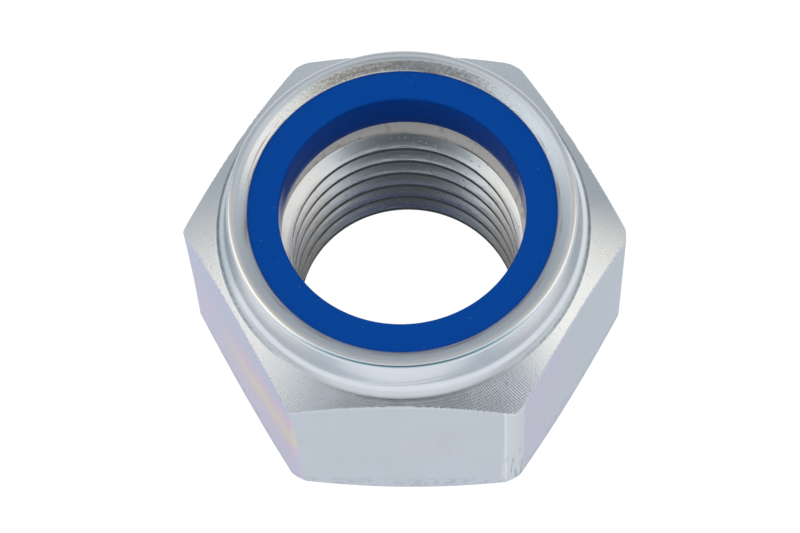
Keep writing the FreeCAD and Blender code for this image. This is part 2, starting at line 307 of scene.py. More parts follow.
def cloud(tree, vector, millimetres, detail=3.0, stretch=(1, 1, 1)):
    """Soft blotches about so many millimetres wide, from 0 to 1; a larger stretch makes them narrower."""
    scaled = add(tree, "ShaderNodeVectorMath", {0: vector, 1: stretch}, operation="MULTIPLY")
    return add(tree, "ShaderNodeTexNoise", {
        "Vector": scaled.outputs[0], "Scale": 1 / (millimetres * MM), "Detail": detail}).outputs["Fac"]


def specks(tree, vector, millimetres, first, full, detail=1.0, stretch=(1, 1, 1)):
    """Small separate spots: the peaks of a cloud, from where they start to where they are full."""
    return add(tree, "ShaderNodeMapRange", {
        "Value": cloud(tree, vector, millimetres, detail, stretch),
        "From Min": first, "From Max": full}, **SOFT).outputs[0]


def overlap(tree, *masks):
    """Product of masks and numbers: where all of them hold."""
    whole = masks[0]
    for mask in masks[1:]:
        whole = reckon(tree, {"a": whole, "b": mask}, [("c", "MULTIPLY", "a", "b")])["c"]
    return whole


def past(tree, value, start, full):
    """1 where a length is past full, fading out at start, both in millimetres."""
    return add(tree, "ShaderNodeMapRange", {
        "Value": value, "From Min": start * MM, "From Max": full * MM}, **SOFT).outputs[0]


def band(tree, value, low, high, soft):
    """1 where a length lies between low and high, fading out over soft, all in millimetres."""
    return overlap(tree, past(tree, value, low - soft, low), past(tree, value, high + soft, high))


def within(tree, cosine, full, end):
    """1 where the angle of a cosine is within full degrees, fading out at end."""
    return add(tree, "ShaderNodeMapRange", {
        "Value": cosine, "From Min": math.cos(math.radians(end)),
        "From Max": math.cos(math.radians(full))}, **SOFT).outputs[0]


def sector(tree, place, middle, full, end):
    """1 within full degrees of a direction round the axis, fading out at end; 0 is front, 90 is right."""
    a = math.radians(middle)
    towards = reckon(tree, dict(place), [
        ("sideways", "MULTIPLY", "east", math.sin(a)),
        ("towards", "MULTIPLY_ADD", "north", -math.cos(a), "sideways")])["towards"]
    return within(tree, towards, full, end)


def ridges(tree, value, millimetres, depth):
    """Rounded ridges so many millimetres apart along a length, depth in mm."""
    return reckon(tree, {"value": value}, [
        ("phase", "MULTIPLY", "value", 2 * math.pi / (millimetres * MM)),
        ("wave", "SINE", "phase"),
        ("ridge", "MULTIPLY", "wave", depth)])["ridge"]


def lay_colours(tree, colour, overlays):
    """Lay colours over a colour, real marks and painted light alike, each a mask and a hex colour."""
    for mask, text in overlays:
        colour = add(tree, "ShaderNodeMix", {"Factor": mask, "A": colour, "B": hex_colour(text)},
                     data_type="RGBA").outputs["Result"]
    return colour


# %% [markdown]
# ## One recipe for the plate
# All zinc here is a metal with a bluish white base colour, a little clouded by the bath, and a roughness that
# wanders slightly. A metal seen nearly edge-on reflects all light, and a darker grazing colour, in Specular
# Tint, holds that back where a real surface is too rough for it. Each finish adds its own stains, painted
# light and shade, and relief.

# %% Zinc recipe
ZINC_COLOURS = ("#c2c9d1", "#cad2da")


def zinc_plate(name, roughness, relief, overlays, colours=ZINC_COLOURS, grazing="#ffffff"):
    """Bright zinc; relief(tree, place) is a height in mm, overlays(tree, place) a list of masks and colours,
    for real marks and painted light.
    """
    material, tree = new_material(name)
    place = place_on_nut(tree)
    colour = lay_colours(tree, hex_colour(colours[0]), [
        (cloud(tree, place["where"], 5.0, 5.0), colours[1]), *overlays(tree, place)])
    rough = roughness(tree, place) if callable(roughness) else add(tree, "ShaderNodeMapRange", {
        "Value": cloud(tree, place["where"], 1.6, 4.0),
        "To Min": roughness * 0.9, "To Max": roughness * 1.12}).outputs[0]
    bump = add(tree, "ShaderNodeBump", {"Height": relief(tree, place), "Distance": MM})
    shader = add(tree, "ShaderNodeBsdfPrincipled", {
        "Base Color": colour, "Metallic": 1.0, "Roughness": rough, "Specular Tint": hex_colour(grazing),
        "Normal": bump.outputs["Normal"]})
    add(tree, "ShaderNodeOutputMaterial", {"Surface": shader.outputs[0]})
    print(name, "nodes:", len(tree.nodes))
    return material, tree, shader


# %% [markdown]
# ## Rolled collar
# After the nylon ring went in, a roller pushed the rim over it. That leaves a smooth wall, a round shoulder,
# and a duller inner lip where the metal was stretched, torn a little at the back. Painted highlights make a
# blue line along the front of the shoulder and cream ones at its sides. Painted shade darkens two creases in
# the neck, both sides of the collar's wall, and a mottled line at the foot of the neck, and a dark painted
# reflection with brownish marks lies at the back of the lip. Each of these is a band of radius or height, cut
# to a sector of the nut.

# %% Rolled zinc
def rolled_relief(tree, place):
    """Fine ripples round the collar, a few pits, and torn grain on the back of the lip."""
    fine = cloud(tree, place["wrapped"], 0.5, stretch=(0.25, 0.25, 1))
    pocks = specks(tree, place["where"], 0.45, 0.7, 0.8)
    grain = cloud(tree, place["where"], 0.45, 4.0)
    torn = overlap(tree, band(tree, place["radius"], 21.5, 22.6, 0.3), sector(tree, place, 188, 70, 95), grain)
    return reckon(tree, {"fine": fine, "pocks": pocks, "torn": torn}, [
        ("pits", "MULTIPLY", "pocks", -0.012), ("worn", "MULTIPLY_ADD", "torn", 0.07, "pits"),
        ("relief", "MULTIPLY_ADD", "fine", 0.010, "worn")])["relief"]


def rolled_stains_and_light(tree, place):
    """Painted shade in the neck's creases, at its foot and on the collar's sides, the dull lip, painted
    highlight lines, and brown streaks.
    """
    radius, height = place["radius"], place["height"]
    top = band(tree, height, 36.8, 38.5, 0.1)

    def side(middle, full, end):
        return sector(tree, place, middle, full, end)

    def rim(low, high, soft, *more):
        return overlap(tree, top, band(tree, radius, low, high, soft), *more)

    mottle = add(tree, "ShaderNodeMapRange", {
        "Value": cloud(tree, place["where"], 0.5, 4.0), "From Min": 0.3, "From Max": 0.62}).outputs[0]
    streaks = specks(tree, place["wrapped"], 0.35, 0.52, 0.66, 3.0, stretch=(0.05, 0.05, 1))
    foot = band(tree, radius, 25.85, 26.3, 0.28)
    off_front = add(tree, "ShaderNodeMapRange", {
        "Value": side(0, 12, 55), "To Min": 0.95, "To Max": 0.0}).outputs[0]
    creases = reckon(tree, {"x": place["x"], "height": height}, [
        ("steep", "MULTIPLY_ADD", "x", -0.12, "height"), ("shallow", "MULTIPLY_ADD", "x", -0.07, "height")])
    return [
        # Painted shade of two creases in the neck, a little right of the front
        (overlap(tree, band(tree, creases["steep"], 33.78, 33.86, 0.06), side(6, 8, 14), 0.45), "#8d99a1"),
        (overlap(tree, band(tree, creases["shallow"], 33.0, 33.1, 0.08), side(6, 10, 20), 0.4), "#8d99a1"),
        # The stretched lip: paler behind, greyer outside it, cream at the back left, mottled at the back
        (rim(21.3, 23.0, 0.5, 0.75), "#a6afb7"),
        (rim(21.3, 23.0, 0.5, side(178, 50, 85), 0.8), "#ccd4da"),
        (rim(22.9, 24.5, 0.2, side(190, 60, 85), 0.35), "#b0bac1"),
        (rim(21.5, 22.5, 0.3, side(-138, 22, 48), 0.65), "#f3f0e8"),
        # Painted dark reflection at the back of the lip, mottled, with brownish marks
        (rim(21.6, 22.6, 0.2, side(182, 22, 40), mottle, 0.6), "#8b8984"),
        # Painted shade: the collar's wall is darker on both sides, and so is the left of the neck
        (overlap(tree, band(tree, radius, 24.15, 26.0, 0.2), side(-92, 12, 32), 0.7), "#a2b1bb"),
        (overlap(tree, band(tree, radius, 24.15, 24.8, 0.2), side(95, 14, 34), 0.6), "#a2b1bb"),
        # Brown streaks beside the nylon; painted highlights: the blue line in front, cream lines at the sides
        (rim(21.4, 22.0, 0.3, streaks, 0.7), "#8d8078"),
        (rim(23.85, 24.06, 0.08, side(8, 32, 56), 0.9), "#a9cadb"),
        (rim(23.5, 23.9, 0.2, side(-62, 12, 40), 0.8), "#e6e2d8"),
        (rim(23.5, 23.9, 0.2, side(70, 14, 40), 0.6), "#e6e3da"),
        # Painted shade: the dark mottled line at the foot of the neck, weaker in front
        (overlap(tree, foot, off_front, 0.75), "#87949a"),
        (overlap(tree, foot, mottle, off_front, 0.5), "#5f6c70"),
    ]


def rolled_roughness(tree, place):
    """Smooth where the roller pressed, duller on the lip."""
    lip = overlap(tree, band(tree, place["radius"], 21.0, 23.0, 0.4),
                  band(tree, place["height"], 36.5, 39, 0.1))
    return add(tree, "ShaderNodeMapRange", {"Value": lip, "To Min": 0.27, "To Max": 0.42}).outputs[0]


rolled_zinc = zinc_plate("zinc_plate_rolled", rolled_roughness, rolled_relief, rolled_stains_and_light,
                         colours=("#cfd5dc", "#d8dee5"))[0]

# %% [markdown]
# ## Turned chamfers
# A lathe tool cut the chamfers, and its feed left fine rings with chatter across them. The real rings stand
# 0.18 mm apart, little more than a pixel of the photograph (0.15 mm), so they are drawn twice as coarse here.
# Two sets of ridges that cross make the fine weave that the photograph shows, strongest at the front.

# %% Turned zinc
FEED, FEED_DEPTH = 0.36, 0.005
CHATTER_PITCH, CHATTER_DEPTH, CHATTER_SLANT = 0.36, 0.009, -0.45
CHATTER_RADIUS = 29.5                      # where the chatter's pitch is true
GRAIN_DEPTH = 0.03


def turned_relief(tree, place):
    """Feed rings and slanting chatter, stronger in front and in patches, over a fine grain."""
    across = reckon(tree, dict(place), [
        ("side", "ABSOLUTE", "turn"),
        ("way", "MULTIPLY", "side", CHATTER_RADIUS * MM),
        ("across", "MULTIPLY_ADD", "radius", CHATTER_SLANT, "way")])["across"]
    known = {
        "rings": ridges(tree, place["radius"], FEED, FEED_DEPTH),
        "chatter": ridges(tree, across, CHATTER_PITCH, CHATTER_DEPTH),
        "cloud": cloud(tree, place["where"], 2.5),
        "front": add(tree, "ShaderNodeMapRange", {
            "Value": sector(tree, place, -20, 38, 72), "To Min": 0.4, "To Max": 1.5}).outputs[0],
        "grain": cloud(tree, place["where"], 0.45),
    }
    return reckon(tree, known, [
        ("weave", "ADD", "rings", "chatter"),
        ("patch", "MULTIPLY", "cloud", "front"),
        ("patchy", "MULTIPLY", "weave", "patch"),
        ("relief", "MULTIPLY_ADD", "grain", GRAIN_DEPTH, "patchy")])["relief"]


def turned_stains_and_light(tree, place):
    """Painted shade at the back, painted warm highlights at the front left and right, and dark specks."""
    speck = specks(tree, place["where"], 0.5, 0.68, 0.76)
    return [
        # Painted shade at the back, then painted highlights at the front left and right
        (overlap(tree, sector(tree, place, 165, 75, 115), 0.7), "#a9b4bc"),
        (overlap(tree, sector(tree, place, -62, 8, 40), 0.7), "#dcdcd8"),
        (overlap(tree, sector(tree, place, 68, 12, 34), 0.8), "#e9e9e4"),
        (overlap(tree, speck, 0.5), "#8e999d"),
    ]


turned_zinc = zinc_plate("zinc_plate_turned", 0.36, turned_relief, turned_stains_and_light)[0]

# %% [markdown]
# ## Drawn flats
# The forging die drew the steel up along its walls, which leaves faint lines on the flats. Clear passivation is
# so thin that it colours light like a soap film does: the left flat has a cream band with pink edges in a
# lilac field, and the right flat is a greyer lilac. The corners were turned, so they stay neutral. To find
# the two flats, a point's distance from the axis is measured square to each of them.

# %% Drawn zinc
def drawn_relief(tree, place):
    """Faint lines of the die, and a few dents."""
    lines = cloud(tree, place["where"], 4.0, 5.0, stretch=(1, 1, 14))
    pits = specks(tree, place["where"], 0.6, 0.72, 0.8)
    return reckon(tree, {"lines": lines, "pits": pits}, [
        ("dents", "MULTIPLY", "pits", -0.02), ("relief", "MULTIPLY_ADD", "lines", 0.04, "dents")])["relief"]


def side_flats(tree, place):
    """The place, with reach square to the two flats, and along, which grows counter-clockwise from above."""
    known = dict(place)
    for side, azimuth in (("left", -60), ("right", 60)):
        a = math.radians(azimuth)
        reckon(tree, known, [
            (side + " part", "MULTIPLY", "x", math.sin(a)),
            (side + " reach", "MULTIPLY_ADD", "y", -math.cos(a), side + " part"),
            (side + " run", "MULTIPLY", "x", math.cos(a)),
            (side + " along", "MULTIPLY_ADD", "y", math.sin(a), side + " run")])
    return known


def drawn_stains_and_light(tree, place):
    """The coloured films of the side flats, the neutral corners, a painted highlight line, and marks of
    handling and scale.
    """
    height = place["height"]
    film = side_flats(tree, place)
    left = band(tree, film["left reach"], 26.6, 28.5, 0.25)
    right = band(tree, film["right reach"], 26.6, 28.5, 0.25)
    film["wander"] = cloud(tree, place["where"], 6.0, stretch=(1, 1, 1.6))
    reckon(tree, film, [
        ("tilted", "MULTIPLY_ADD", "left along", -0.28, "height"),
        ("film", "MULTIPLY_ADD", "wander", 5 * MM, "tilted")])
    front_half = past(tree, film["left along"], -10, 6)
    right_front = past(tree, film["right along"], 2, -9)
    pink = specks(tree, place["where"], 3.0, 0.5, 0.65)
    corner = overlap(tree, band(tree, place["radius"], 30.8, 32, 0.15), sector(tree, place, 30, 4, 5))
    streaks = specks(tree, place["where"], 0.5, 0.5, 0.62, 3.0, stretch=(1, 1, 0.08))
    smear = overlap(tree, band(tree, place["x"], 0, 7, 2), band(tree, height, 14, 20, 2),
                    specks(tree, place["where"], 1.2, 0.45, 0.65))
    scale_marks = overlap(tree, band(tree, height, 0, 3.2, 1.5),
                          specks(tree, place["where"], 0.9, 0.45, 0.62), 0.4)
    return [
        # Left flat: lilac field, pink edges, cream band, bluer towards its top
        (overlap(tree, left, 0.9), "#cecadd"),
        (overlap(tree, left, band(tree, film["film"], 11.5, 23, 2.5), front_half, 0.8), "#dcc8d6"),
        (overlap(tree, left, band(tree, film["film"], 15.3, 18.5, 2.0), front_half, 0.9), "#ddd5c8"),
        (overlap(tree, left, band(tree, film["film"], 27, 34, 4), 0.7), "#c5cbe0"),
        # Right flat: greyer lilac with pink patches near the front
        (overlap(tree, right, right_front, 0.8), "#cac9da"),
        (overlap(tree, right, right_front, pink, 0.5), "#d2c6d3"),
        # Front flat: a faint smear
        (overlap(tree, smear, 0.4), "#cdc0c8"),
        # Front right corner: neutral, streaked near its foot, with a painted highlight line where it meets the
        # front flat
        (corner, "#d3d8dd"),
        (overlap(tree, corner, streaks, band(tree, height, 2, 12, 3), 0.7), "#9fa9b1"),
        (overlap(tree, sector(tree, place, 27.9, 0.1, 0.4), 0.7), "#e4e9ec"),
        # Marks of scale along the foot
        (scale_marks, "#a5adb3"),
    ]


drawn_zinc = zinc_plate("zinc_plate_drawn", 0.38, drawn_relief, drawn_stains_and_light, grazing="#dbdfe6")[0]

# %% [markdown]
# ## Tapped bore
# The tap cut clean bright flanks with streaks that run round. Both sides of the bore carry a painted pale
# sheen and a softer, more matte plate than its back. The crests between the flanks are what the drill left,
# and at the back they are painted dark as shade. The countersink above the thread holds a thick dull deposit
# of the bath: it is beige and hardly mirrors at all. One mask says how dull the plate is, whole on the
# countersink and a third on the sides, and takes the material from bright metal to a matte coat.

# %% Tapped zinc
BRIGHT = {"Metallic": 1.0, "Roughness": 0.26}
MATTE = {"Metallic": 0.1, "Roughness": 0.6}
# The sides' pale sheen is painted; this share only takes their plate part of the way to matte
SIDE_MATTE_SHARE = 0.35                     # how far the burnished sides are on the way to matte


def tapped_relief(tree, place):
    """Streaks round the bore, and chips that the tap left."""
    streaks = cloud(tree, place["wrapped"], 0.6, 5.0, stretch=(0.12, 0.12, 1))
    chips = specks(tree, place["where"], 0.4, 0.7, 0.78)
    return reckon(tree, {"streaks": streaks, "chips": chips}, [
        ("bits", "MULTIPLY", "chips", 0.05), ("relief", "MULTIPLY_ADD", "streaks", 0.03, "bits")])["relief"]


def countersink(tree, place):
    """1 on the upper countersink, 0 elsewhere."""
    return reckon(tree, dict(place), [
        ("below seat", "SUBTRACT", "height", SEAT_HEIGHT * MM),
        ("cone", "MULTIPLY_ADD", "below seat", EXIT_SLOPE, EXIT_RADIUS * MM),
        ("gap", "SUBTRACT", "radius", "cone"),
        ("off cone", "ABSOLUTE", "gap"),
        ("on cone", "LESS_THAN", "off cone", 0.05 * MM),
        ("high", "GREATER_THAN", "height", 24 * MM),
        ("countersink", "MULTIPLY", "on cone", "high")])["countersink"]


def side_sheen(tree, place):
    """1 on both sides of a bore, fading to 0 at its back."""
    return add(tree, "ShaderNodeMapRange", {
        "Value": sector(tree, place, 180, 20, 55), "To Min": 1.0, "To Max": 0.0}).outputs[0]


def tapped_stains_and_light(tree, place):
    """Painted sheen on the sides, painted shade on the crests at the back, and the beige countersink with its
    dirt.
    """
    crest = band(tree, place["radius"], 15.0, 16.04, 0.05)
    on_cone = countersink(tree, place)
    dirt = specks(tree, place["where"], 1.1, 0.58, 0.68)
    return [
        # Painted sheen: both sides of the bore are paler
        (overlap(tree, side_sheen(tree, place), 0.9), "#f6f5ee"),
        # Painted shade: the crests at the back of the bore are darker
        (overlap(tree, crest, sector(tree, place, 180, 45, 75), 0.8), "#6c767c"),
        (on_cone, "#f4f1e8"),
        (overlap(tree, on_cone, dirt, 0.3), "#9c9d95"),
    ]


tapped_zinc, tapped_tree, tapped_shader = zinc_plate(
    "zinc_plate_tapped", BRIGHT["Roughness"], tapped_relief, tapped_stains_and_light, colours=("#cad5dd", "#d4dee5"))
tapped_place = place_on_nut(tapped_tree)
masks = {"cone": countersink(tapped_tree, tapped_place), "sides": side_sheen(tapped_tree, tapped_place)}
dull = reckon(tapped_tree, masks, [
    ("dull sides", "MULTIPLY", "sides", SIDE_MATTE_SHARE), ("dull", "MAXIMUM", "cone", "dull sides")])["dull"]
for socket, bright in BRIGHT.items():
    share = add(tapped_tree, "ShaderNodeMapRange", {"Value": dull, "To Min": bright, "To Max": MATTE[socket]})
    tapped_tree.links.new(share.outputs[0], tapped_shader.inputs[socket])
nut_finishes = [rolled_zinc, turned_zinc, drawn_zinc, tapped_zinc]
print("zinc materials:", [m.name for m in nut_finishes])

# %% [markdown]
# ## The rule as a geometry tree
# The tree reads each point's four numbers and works out its radius and height. Sizes come in as named inputs,
# so the same tree makes any nut of this kind. The real nut isn't quite true: some flats lean in at the top, by
# up to 0.63 mm. The lathe's grooves make the arches jagged, and a noise that runs round the axis makes them
# stronger in some places.

# %% Inputs of the tree
NUT_INPUTS = {
    "Flat radius": FLAT_RADIUS, "Stock radius": STOCK_RADIUS, "Bearing radius": BEARING_RADIUS,
    "Flat height": FLAT_HEIGHT, "Neck start": neck[-1][0], "Seat height": SEAT_HEIGHT, "Pitch": PITCH,
    "Entry radius": ENTRY_RADIUS, "Exit radius": EXIT_RADIUS, "Worn edge": EDGE,
    "Groove": 0.16, "Groove depth": 0.5, "Corner round": 0.3, "Lean": 0.63,
}
LEAN_TOWARDS = math.radians(46)            # the way flats lean in at the top, turned from +X
SEED = 7.0

tree = bpy.data.node_groups.new("wrap_nut", "GeometryNodeTree")
for way in ("INPUT", "OUTPUT"):
    tree.interface.new_socket("Geometry", in_out=way, socket_type="NodeSocketGeometry")
for name in (*NUT_INPUTS, "Seed"):
    tree.interface.new_socket(name, in_out="INPUT", socket_type="NodeSocketFloat")
given = add(tree, "NodeGroupInput").outputs
values = {name: given[name] for name in NUT_INPUTS}
for key in POINT_VALUES:
    values[key] = add(tree, "GeometryNodeInputNamedAttribute", {"Name": key}, data_type="FLOAT").outputs[0]
reckon(tree, values, [("sine of turn", "SINE", "turn"), ("cosine of turn", "COSINE", "turn")])
round_axis = add(tree, "ShaderNodeCombineXYZ", {
    0: values["cosine of turn"], 1: values["sine of turn"]}).outputs[0]
for key, scale in (("patchy", 9.0), ("torn", 120.0)):
    values[key] = add(tree, "ShaderNodeTexNoise", {
        "Vector": round_axis, "W": given["Seed"], "Scale": scale, "Detail": 3.0},
        noise_dimensions="4D").outputs[0]
print("inputs of the tree:", len(NUT_INPUTS) + 1)

# %% [markdown]
# ## The arithmetic
# Its steps are listed as a table, because a page of arithmetic nodes reads better that way: a name, an
# operation, and what goes in. A flat's distance from the axis is divided by the cosine of the angle off its
# middle, and the nearest of the flat and its two neighbours wins. The round stock cuts the corners.

# %% Steps of the rule
STEPS = [("flat", "SNAP", "turn", math.pi / 3)]
for side in (-1, 0, 1):                    # the flat in front of a point, and its two neighbours
    STEPS += [
        (f"normal {side}", "ADD", "flat", math.pi / 6 + side * math.pi / 3),
        (f"off lean {side}", "SUBTRACT", f"normal {side}", LEAN_TOWARDS),
        (f"lean way {side}", "COSINE", f"off lean {side}"),
        (f"inward {side}", "MINIMUM", f"lean way {side}", 0.0),
        (f"top apothem {side}", "MULTIPLY_ADD", f"inward {side}", "Lean", "Flat radius"),
        (f"angle {side}", "SUBTRACT", "turn", f"normal {side}"),
        (f"open {side}", "COSINE", f"angle {side}"),
        (f"safe {side}", "MAXIMUM", f"open {side}", 0.3),       # a flat far round the nut can't win
        (f"top sharp {side}", "DIVIDE", f"top apothem {side}", f"safe {side}"),
        (f"sharp {side}", "DIVIDE", "Flat radius", f"safe {side}"),
    ]
STEPS += [
    # Radius of the hexagon with its corners cut by the round stock, at its top and at its foot
    ("lower of two", "MINIMUM", "top sharp -1", "top sharp 0"),
    ("top hexagon", "MINIMUM", "lower of two", "top sharp 1"),
    ("top outer", "SMOOTH_MIN", "top hexagon", "Stock radius", "Corner round"),
    ("outer", "SMOOTH_MIN", "sharp 0", "Stock radius", "Corner round"),
    ("trimmed", "SUBTRACT", "outer", "Worn edge"),
    # The lathe's grooves make the chamfer's edge jagged, more in some places than in others
    ("groove phase", "DIVIDE", "top outer", "Groove"),
    ("groove turn", "MULTIPLY", "groove phase", 2 * math.pi),
    ("groove wave", "SINE", "groove turn"),
    ("groove torn", "MULTIPLY_ADD", "groove wave", 0.5, "torn"),
    ("groove open", "MAXIMUM", "groove torn", 0.0),
    ("groove share", "MULTIPLY", "groove open", "patchy"),
    ("groove", "MULTIPLY", "groove share", "Groove depth"),
    ("jag", "MULTIPLY", "groove", 0.4),    # it cuts less into the chamfer than down the flat
    ("top edge", "SUBTRACT", "top outer", "Worn edge"),
    ("top trimmed", "SUBTRACT", "top edge", "jag"),
    # Heights of the two arches
    ("beyond bearing", "SUBTRACT", "outer", "Bearing radius"),
    ("low arch", "MULTIPLY", "beyond bearing", BEARING_SLOPE),
    ("beyond flat", "SUBTRACT", "top outer", "Flat radius"),
    ("high arch", "MULTIPLY_ADD", "beyond flat", -TOP_SLOPE, "Flat height"),
    # Top chamfer
    ("chamfer span", "SUBTRACT", "Neck start", "top trimmed"),
    ("chamfer radius", "MULTIPLY_ADD", "first", "chamfer span", "top trimmed"),
    ("chamfer beyond", "SUBTRACT", "chamfer radius", "Flat radius"),
    ("chamfer height", "MULTIPLY_ADD", "chamfer beyond", -TOP_SLOPE, "Flat height"),
    # Flat, between the two arches
    ("worn arch", "SUBTRACT", "high arch", "Worn edge"),
    ("side top", "SUBTRACT", "worn arch", "groove"),
    ("side bottom", "ADD", "low arch", "Worn edge"),
    ("side span", "SUBTRACT", "side bottom", "side top"),
    ("side height", "MULTIPLY_ADD", "first", "side span", "side top"),
    ("side growth", "SUBTRACT", "outer", "top outer"),
    ("side radius", "MULTIPLY_ADD", "first", "side growth", "top outer"),
    # Bottom chamfer
    ("under span", "SUBTRACT", "Bearing radius", "trimmed"),
    ("under radius", "MULTIPLY_ADD", "first", "under span", "trimmed"),
    ("under beyond", "SUBTRACT", "under radius", "Bearing radius"),
    ("under height", "MULTIPLY", "under beyond", BEARING_SLOPE),
    # Thread, climbing with the turn, and the two countersinks
    ("climb", "DIVIDE", "Pitch", 2 * math.pi),
    ("climbed", "MULTIPLY_ADD", "turn", "climb", "second"),
    ("not above", "MINIMUM", "climbed", "Seat height"),
    ("thread height", "MAXIMUM", "not above", 0.0),
    ("entry cone", "MULTIPLY_ADD", "thread height", -ENTRY_SLOPE, "Entry radius"),
    ("below seat", "SUBTRACT", "thread height", "Seat height"),
    ("exit cone", "MULTIPLY_ADD", "below seat", EXIT_SLOPE, "Exit radius"),
    ("widest cone", "MAXIMUM", "entry cone", "exit cone"),
    ("thread radius", "MAXIMUM", "first", "widest cone"),
]
reckon(tree, values, STEPS)
print("steps of the rule:", len(STEPS))

# %% [markdown]
# ## Points to their places
# A point's rule picks its radius and height from the results, and the turn puts it round the axis. The tree
# ends by realizing what it made and giving each face its zinc, by the finish number that the sheet carries.

# %% Pick, place and paint
RESULTS = {
    "radius": ["first", "chamfer radius", "side radius", "under radius", "thread radius"],
    "height": ["second", "chamfer height", "side height", "under height", "thread height"],
}
rule = add(tree, "FunctionNodeFloatToInt", {0: values["rule"]}, rounding_mode="ROUND").outputs[0]
picks = {}
for result, choices in RESULTS.items():
    pick = add(tree, "GeometryNodeIndexSwitch", data_type="FLOAT")
    while len(pick.index_switch_items) < len(choices):
        pick.index_switch_items.new()
    tree.links.new(rule, pick.inputs[0])
    for i, choice in enumerate(choices):
        tree.links.new(values[choice], pick.inputs[i + 1])
    picks[result] = pick.outputs[0]
spot = reckon(tree, {**values, **picks}, [
    ("x", "MULTIPLY", "radius", "cosine of turn"), ("y", "MULTIPLY", "radius", "sine of turn")])
position = add(tree, "ShaderNodeCombineXYZ", {0: spot["x"], 1: spot["y"], 2: spot["height"]})
moved = add(tree, "GeometryNodeSetPosition", {"Geometry": given["Geometry"], "Position": position.outputs[0]})
smooth = add(tree, "GeometryNodeSetShadeSmooth", {"Geometry": moved.outputs[0], "Shade Smooth": True})
whole = add(tree, "GeometryNodeRealizeInstances", {"Geometry": smooth.outputs[0]}).outputs[0]
finish = add(tree, "GeometryNodeInputNamedAttribute", {"Name": "finish"}, data_type="INT").outputs[0]
for i, material in enumerate(nut_finishes):
    here = add(tree, "FunctionNodeCompare", {2: finish, 3: i}, data_type="INT", operation="EQUAL")
    whole = add(tree, "GeometryNodeSetMaterial", {
        "Geometry": whole, "Selection": here.outputs[0], "Material": material}).outputs[0]
add(tree, "NodeGroupOutput", {"Geometry": whole})
print("nodes in the tree:", len(tree.nodes))

# %% [markdown]
# ## From the tree to a plain mesh
# The export wants plain meshes, so the evaluated sheet is copied out. Its first and last columns, and the
# joints between its grids, hold the same points twice. A weld over a few thousandths of a millimetre joins
# them, faces with no area go, and the count of open edges shows that the skin is closed.

# %% Bake the nut
WELD = 0.003                               # points closer than this are one


def bake(thing, tree, inputs, name):
    """Run a geometry tree on an object, weld its seams, and return a plain mesh object at the origin."""
    modifier = thing.modifiers.new("rule", "NODES")
    modifier.node_group = tree
    for item in tree.interface.items_tree:
        if item.in_out == "INPUT" and item.name in inputs:
            modifier[item.identifier] = inputs[item.name]
    shown = thing.evaluated_get(bpy.context.evaluated_depsgraph_get())
    mesh = bpy.data.meshes.new_from_object(shown)
    made = bpy.data.objects.new(name, mesh)
    scene.collection.objects.link(made)
    bpy.data.objects.remove(thing)
    solid = bmesh.new()
    solid.from_mesh(mesh)
    bmesh.ops.remove_doubles(solid, verts=solid.verts, dist=WELD * MM)
    bmesh.ops.dissolve_degenerate(solid, dist=1e-7, edges=solid.edges)
    bmesh.ops.recalc_face_normals(solid, faces=solid.faces)
    open_edges = sum(len(edge.link_faces) != 2 for edge in solid.edges)
    print(f"{name}: {len(solid.faces)} faces, {open_edges} open edges,"
          f" {solid.calc_volume() / MM ** 3 / 1000:.2f} cm3")
    solid.to_mesh(mesh)
    solid.free()
    for key in (*POINT_VALUES, "finish"):
        if key in mesh.attributes:
            mesh.attributes.remove(mesh.attributes[key])
    return made


tree_inputs = {name: value * MM for name, value in NUT_INPUTS.items()}
tree_inputs["Seed"] = SEED
nut = bake(nut, tree, tree_inputs, "steel_nut")
print("steel nut triangles:", sum(len(p.vertices) - 2 for p in nut.data.polygons))

# %% [markdown]
# ## The nylon ring
# The ring is a turned length of blue nylon, a plastic with a satin skin. Its top face is plain with a few pale
# specks. Its bore is painted a darker blue as shade, because little light comes back out of it, and it is
# smoother at both sides than at the back. The low gloss is the same all over, so it is a plain number in the
# shader, and only the roughness is mixed. The ripple of the rolled collar serves for this skin too.

# %% Turned nylon
nylon, nylon_tree = new_material("blue_nylon_turned")
nylon_place = place_on_nut(nylon_tree)
pale_specks = specks(nylon_tree, nylon_place["where"], 0.5, 0.74, 0.8)
nylon_colour = lay_colours(nylon_tree, hex_colour("#0046a0"), [
    (cloud(nylon_tree, nylon_place["where"], 3.0, 4.0), "#004aa5"),
    (overlap(nylon_tree, pale_specks, 0.35), "#5f86b8"),
    # Painted shade: the bore is a darker blue
    (band(nylon_tree, nylon_place["height"], 20, 36.2, 0.3), "#00429c")])
nylon_bump = add(nylon_tree, "ShaderNodeBump", {
    "Height": rolled_relief(nylon_tree, nylon_place), "Distance": MM, "Strength": 0.6})
bore_wall = band(nylon_tree, nylon_place["height"], 20, 36.3, 0.2)
bore_sides = overlap(nylon_tree, bore_wall, side_sheen(nylon_tree, nylon_place))
nylon_roughness = add(nylon_tree, "ShaderNodeMapRange", {"Value": bore_sides, "To Min": 0.35, "To Max": 0.12})
nylon_shader = add(nylon_tree, "ShaderNodeBsdfPrincipled", {
    "Base Color": nylon_colour, "Roughness": nylon_roughness.outputs[0], "IOR": 1.53,
    "Specular IOR Level": 0.05, "Normal": nylon_bump.outputs["Normal"]})
add(nylon_tree, "ShaderNodeOutputMaterial", {"Surface": nylon_shader.outputs[0]})
print("nylon nodes:", len(nylon_tree.nodes))

# %% [markdown]
# ## The ring's sheet
# It has no hexagon in it, so its sheet only holds turned rows, and the same tree wraps it. Its section is a
# rectangle with a small round at the top of the bore. The rows go once round that section and end where they
# start, so the weld closes it.

# %% Build and bake the ring
BORE_ROUND = 0.35

